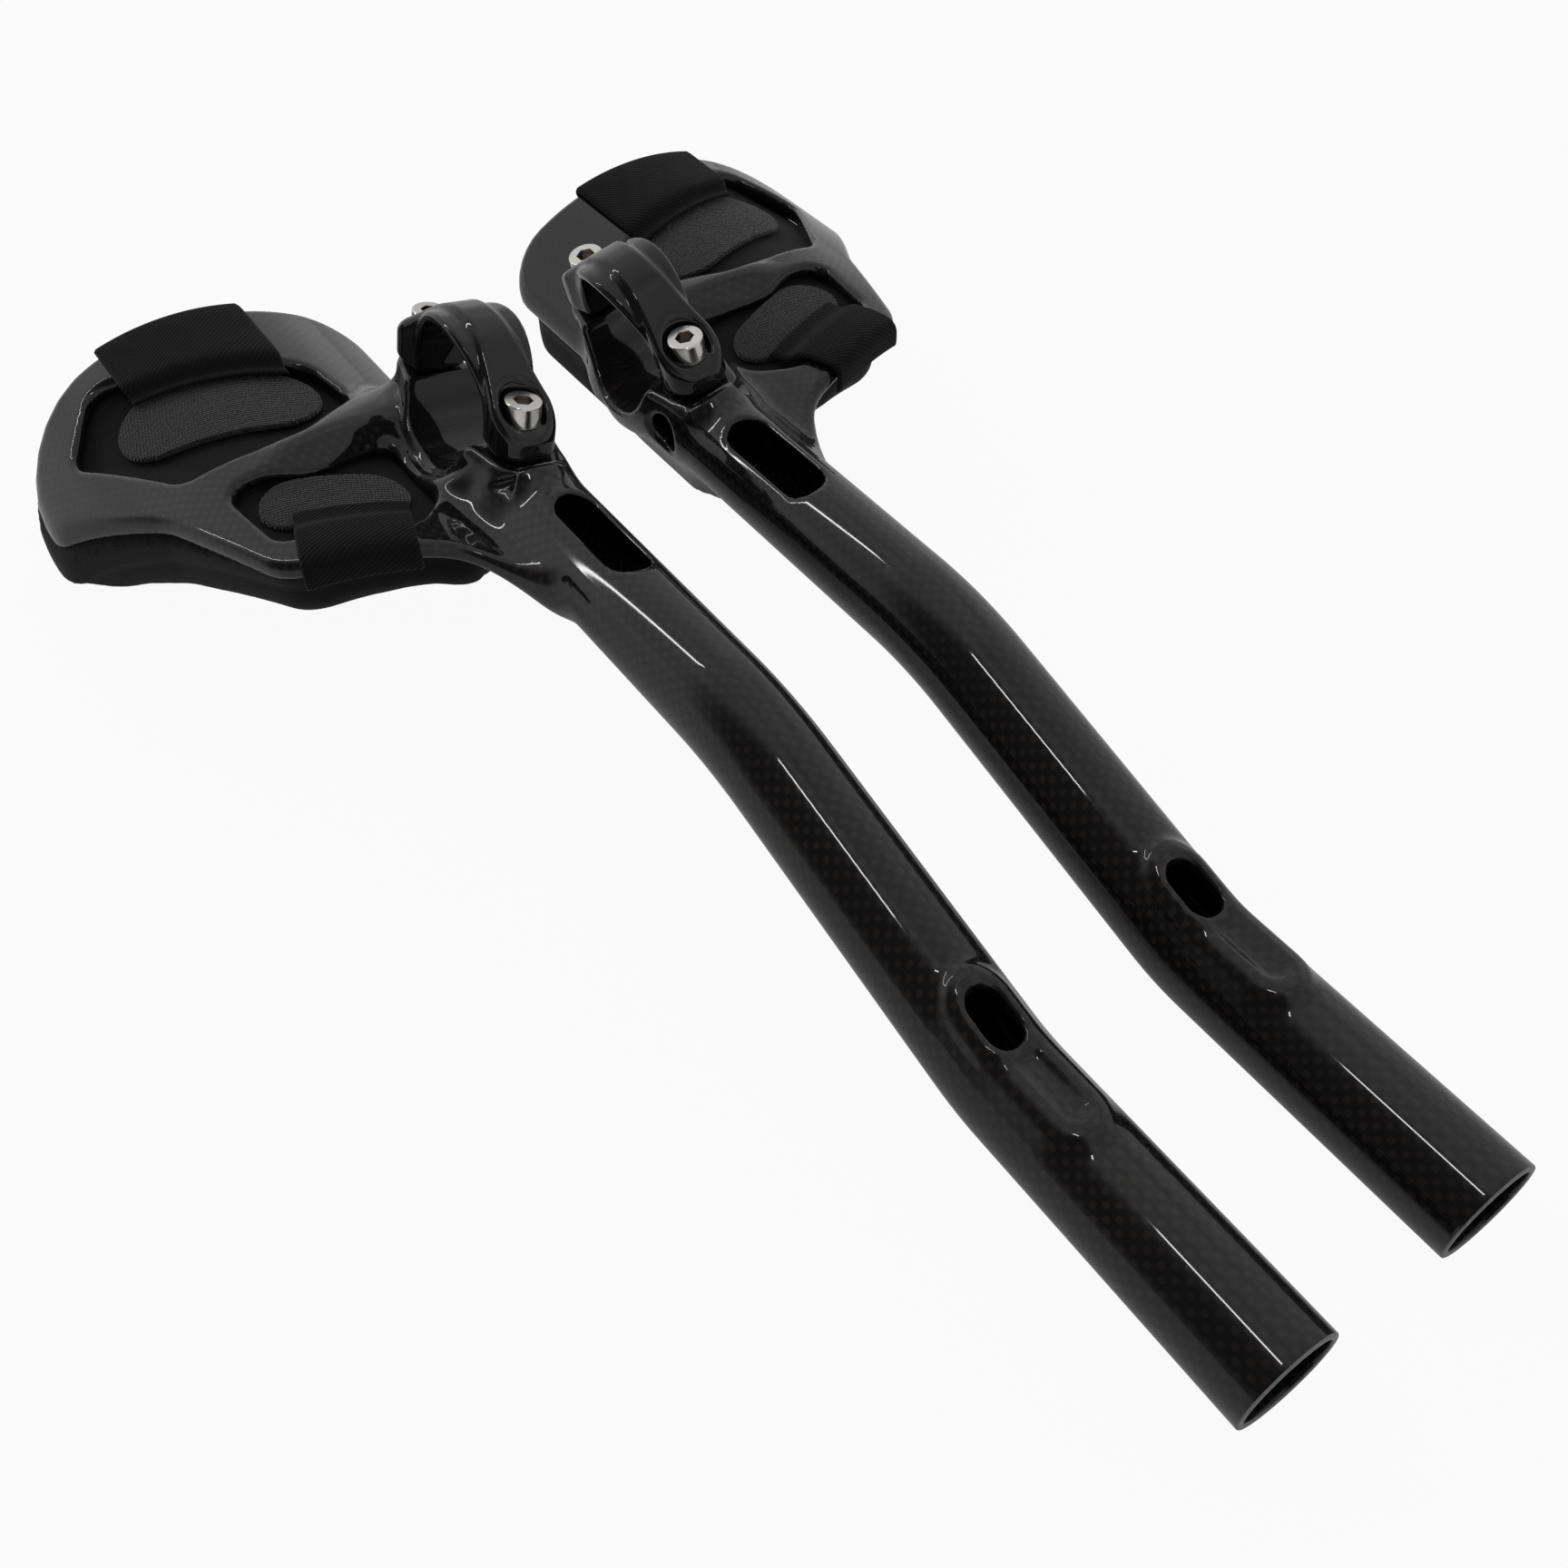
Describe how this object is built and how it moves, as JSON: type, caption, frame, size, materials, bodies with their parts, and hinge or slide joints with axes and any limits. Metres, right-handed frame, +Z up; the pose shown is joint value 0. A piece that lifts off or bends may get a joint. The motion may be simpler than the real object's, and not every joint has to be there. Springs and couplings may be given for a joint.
{
  "type": "time trial handlebar",
  "caption": "Pair of moulded carbon time trial extensions, each a dropped hollow tube, a split bar clamp and an arched arm rest with a strapped-on foam pad.",
  "frame": {"origin": "middle of the pair on the table that it lies on, pads down", "axes": "+X forward along the bars to the grip ends, +Y to the bar with the right-hand nodes, +Z up"},
  "size_m": [0.341, 0.2312, 0.0685],
  "materials": {
    "carbon": "woven carbon under gloss clear lacquer",
    "cap_lacquer": "gloss black lacquer",
    "bolt_steel": "polished stainless steel",
    "nut_steel": "turned steel",
    "pad_fabric": "matte knitted cover on foam",
    "hook_felt": "brushed loop felt",
    "strap_web": "woven elastic webbing"
  },
  "bodies": {
    "root": {"left_extension_bar": "carbon", "right_extension_bar": "carbon", "left_clamp_cap": "cap_lacquer", "right_clamp_cap": "cap_lacquer", "left_clamp_bolts": "bolt_steel", "right_clamp_bolts": "bolt_steel", "left_barrel_nuts": "nut_steel", "right_barrel_nuts": "nut_steel", "left_arm_pad": "pad_fabric", "right_arm_pad": "pad_fabric", "left_rear_hook_patch": "hook_felt", "right_rear_hook_patch": "hook_felt", "left_front_hook_patch": "hook_felt", "right_front_hook_patch": "hook_felt", "left_rear_strap": "strap_web", "right_rear_strap": "strap_web", "left_front_strap": "strap_web", "right_front_strap": "strap_web"}
  },
  "joints": []
}
